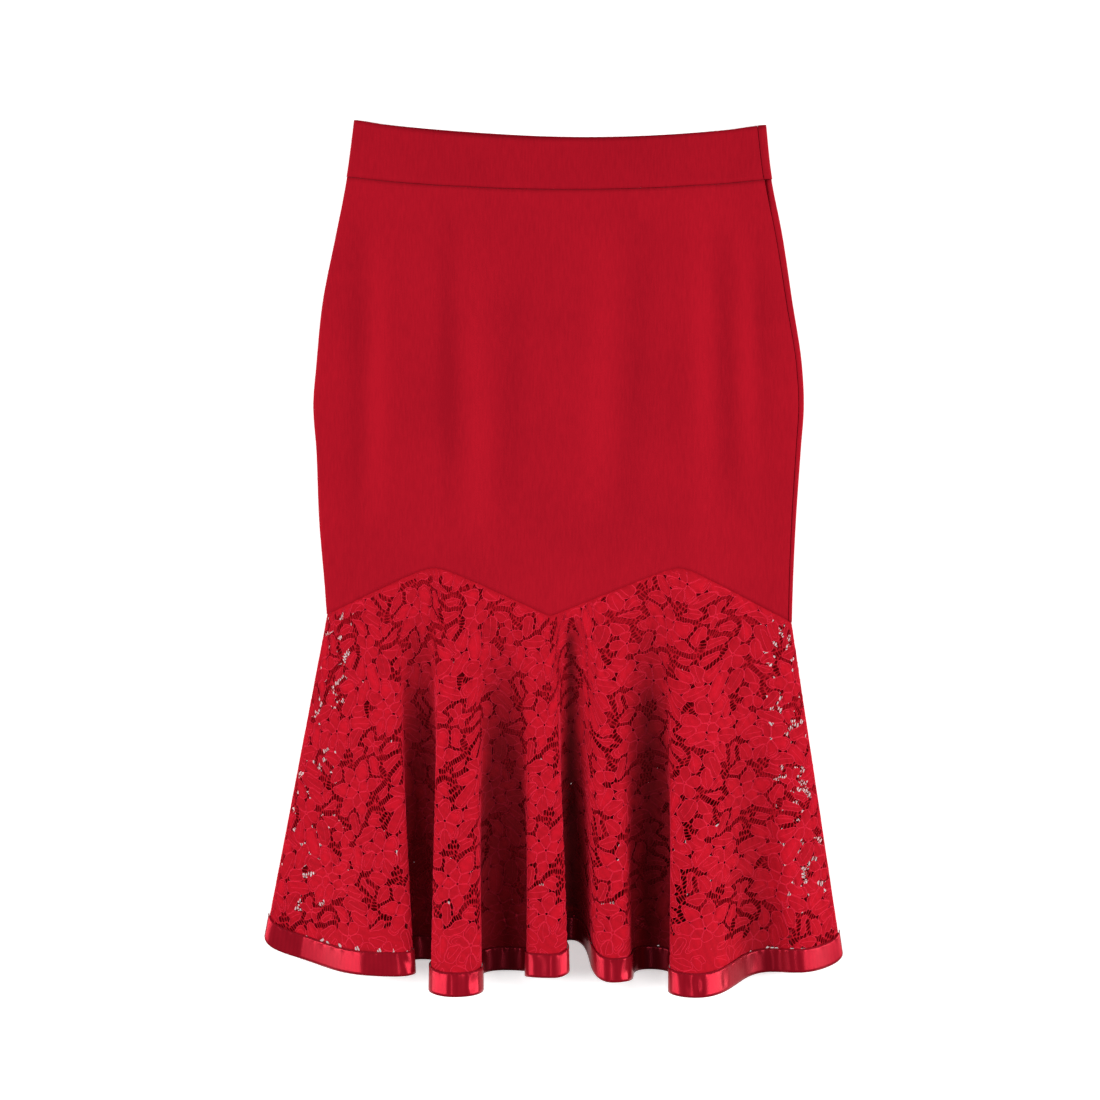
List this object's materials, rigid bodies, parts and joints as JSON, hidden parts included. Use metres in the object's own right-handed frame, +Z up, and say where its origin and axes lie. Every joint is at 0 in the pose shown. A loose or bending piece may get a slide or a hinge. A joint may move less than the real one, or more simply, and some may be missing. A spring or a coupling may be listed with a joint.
{
  "type": "lace pencil skirt",
  "caption": "Knee-length knit pencil skirt laid flat, with a doubled waistband and a waved lace flounce hemmed in satin ribbon.",
  "frame": {"origin": "the middle of the laid skirt's outline, on the table it lies on", "axes": "+X across the skirt to the right, seen from above; +Y up the skirt, from the hem to the waist; +Z up from the table"},
  "size_m": [0.4908, 0.7347, 0.0542],
  "materials": {
    "knit": "matte crimson double knit",
    "lace": "red corded lace",
    "satin": "red satin ribbon"
  },
  "bodies": {
    "root": {"waistband_front": "knit", "waistband_back": "knit", "skirt_front": "knit", "skirt_back": "knit", "flounce_front": "lace", "flounce_back": "lace", "ribbon_front": "satin", "ribbon_back": "satin"}
  },
  "joints": []
}
